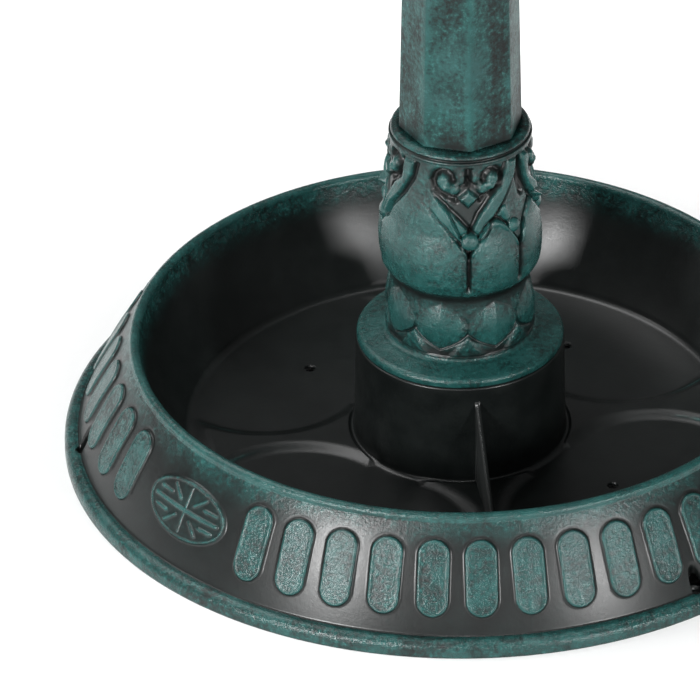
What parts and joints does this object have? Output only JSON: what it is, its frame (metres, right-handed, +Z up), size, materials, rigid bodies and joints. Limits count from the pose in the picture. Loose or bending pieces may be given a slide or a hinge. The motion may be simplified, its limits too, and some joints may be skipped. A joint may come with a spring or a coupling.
{
  "type": "pedestal bird bath with planter base",
  "caption": "Free-standing resin bird bath: a ring-shaped planter base with raised ornament, an octagonal pedestal and a lift-off bowl, clamped by a tie rod.",
  "frame": {"origin": "centre of the base's lower face, on the ground", "axes": "+Z up along the pedestal; one of the base's two gussets lies on -Y"},
  "size_m": [0.51, 0.51, 0.71],
  "materials": {
    "planter_base": "black resin dry-brushed with green verdigris, satin, the trough left black",
    "pedestal_foot": "green verdigris over black resin, satin",
    "column_shaft": "fine speckled green verdigris over black resin, satin",
    "column_capital": "green verdigris over black resin, satin",
    "bowl": "green verdigris over black resin, satin",
    "zinc_steel": "zinc plated, slightly dull"
  },
  "bodies": {
    "stand": {"planter_base": "planter_base", "pedestal_foot": "pedestal_foot", "column_shaft": "column_shaft", "column_capital": "column_capital", "tie_rod": "zinc_steel", "top_washer": "zinc_steel", "top_nut": "zinc_steel", "hub_washer": "zinc_steel"},
    "bowl": {"bowl": "bowl"},
    "wing_nut": {"wing_nut": "zinc_steel"}
  },
  "joints": [
    {"name": "bowl_lift", "type": "slide", "parent": "stand", "child": "bowl", "axis": [0, 0, 1], "range_m": [0, 0.06]},
    {"name": "wing_nut_turn", "type": "hinge", "parent": "stand", "child": "wing_nut", "pos_m": [0, 0, 0.0529], "axis": [0, 0, 1], "continuous": true}
  ]
}
